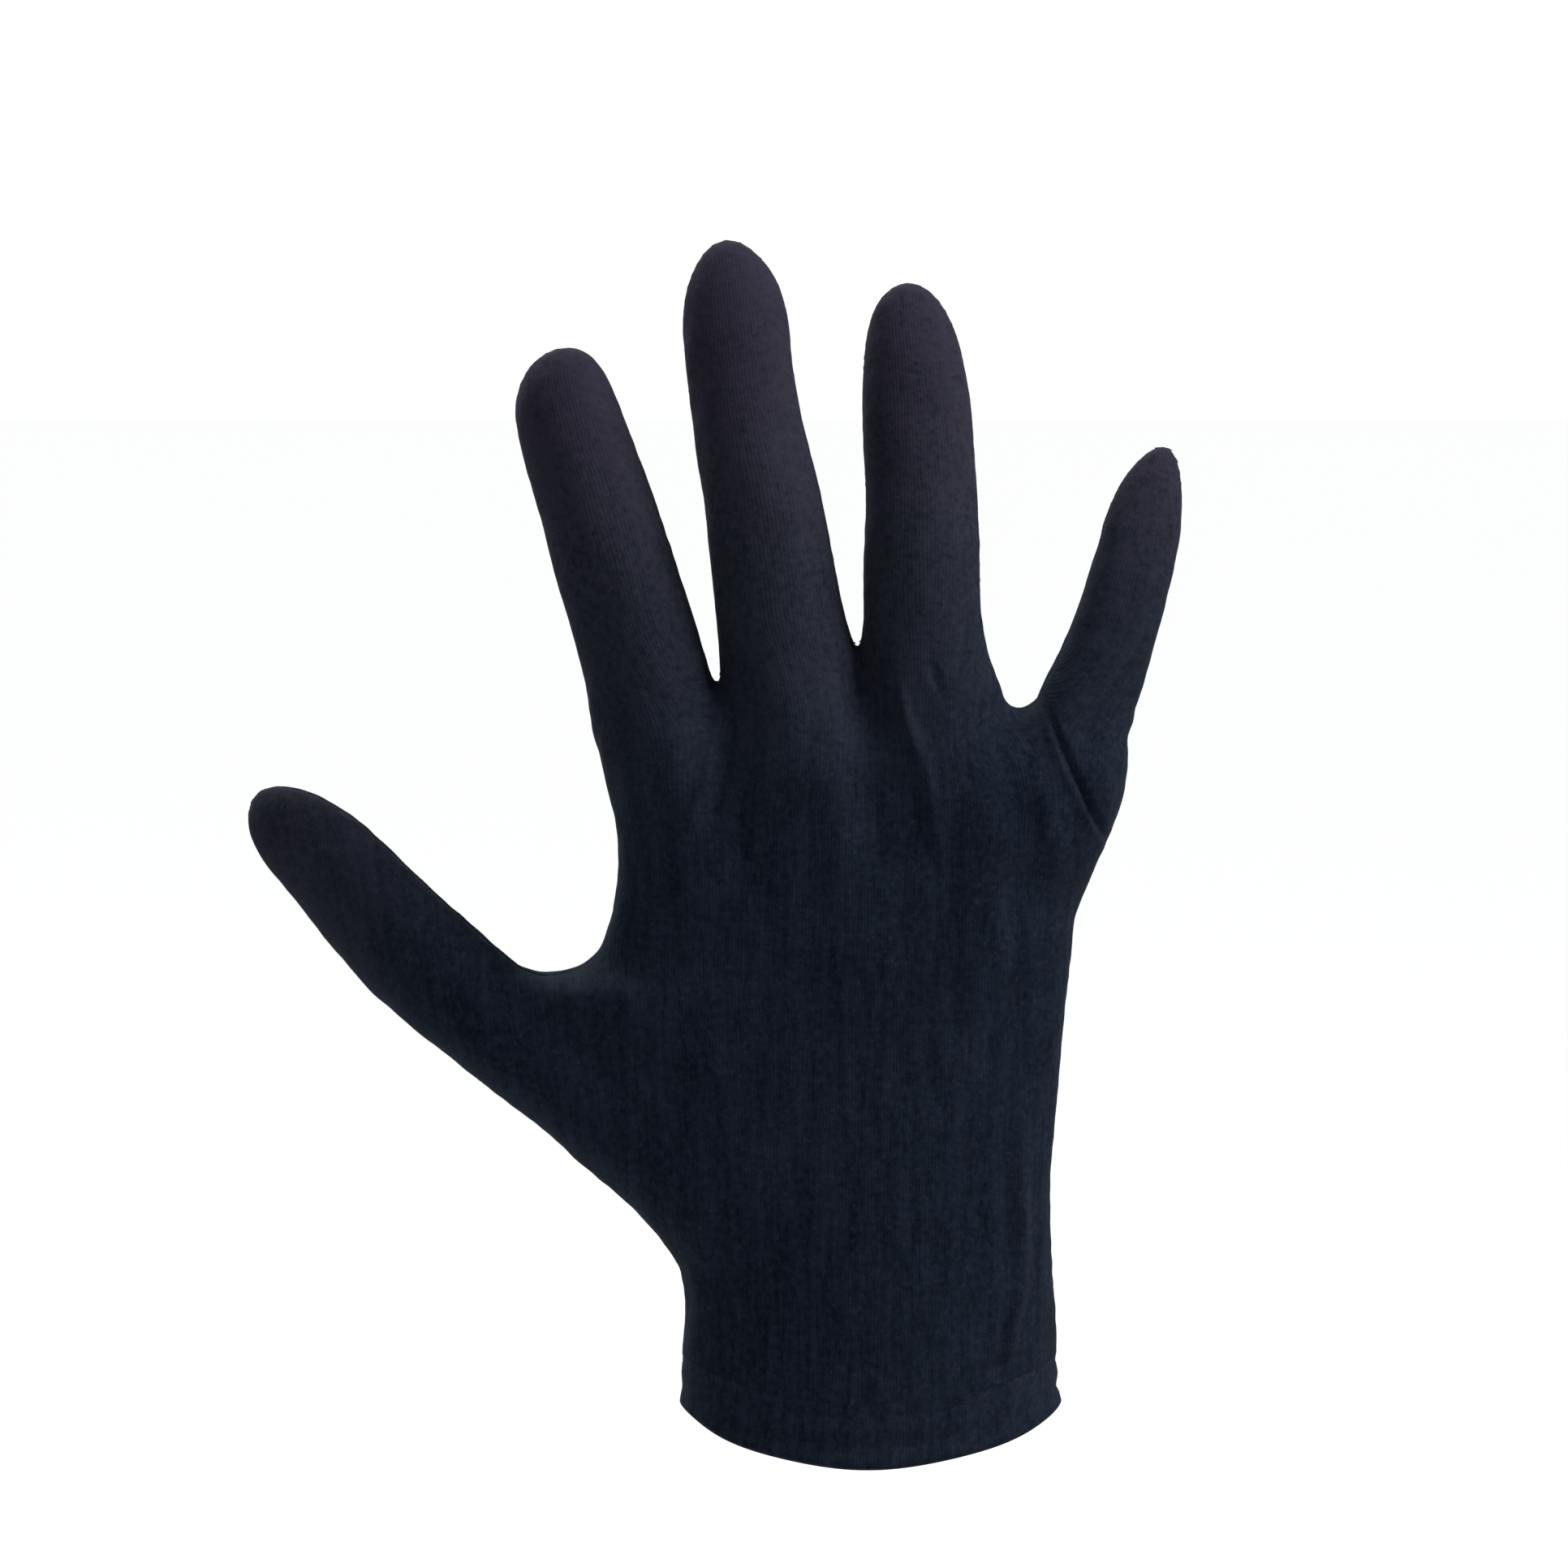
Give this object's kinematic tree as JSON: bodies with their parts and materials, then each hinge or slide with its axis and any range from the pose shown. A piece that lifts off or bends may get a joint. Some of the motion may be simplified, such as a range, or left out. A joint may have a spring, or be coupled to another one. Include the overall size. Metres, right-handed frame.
{
  "type": "costume glove",
  "caption": "Plain black stretch-knit costume glove for a right hand, wrist length, in its worn form with spread fingers and a turned hem.",
  "frame": {"origin": "centre of the wrist opening, where the hand goes in", "axes": "+Z from the wrist towards the fingertips, -Y out of the back of the hand, -X towards the thumb"},
  "size_m": [0.1761, 0.0462, 0.2252],
  "materials": {
    "knit_back": "black stretch knit with fine upright ribs, matt with a soft fuzzy sheen",
    "knit_palm": "the same black stretch knit, slightly rubbed on the palm",
    "knit_hem": "the same knit turned up double and stitched round the wrist"
  },
  "bodies": {
    "root": {"back_panel": "knit_back", "palm_panel": "knit_palm", "cuff_hem": "knit_hem"}
  },
  "joints": []
}
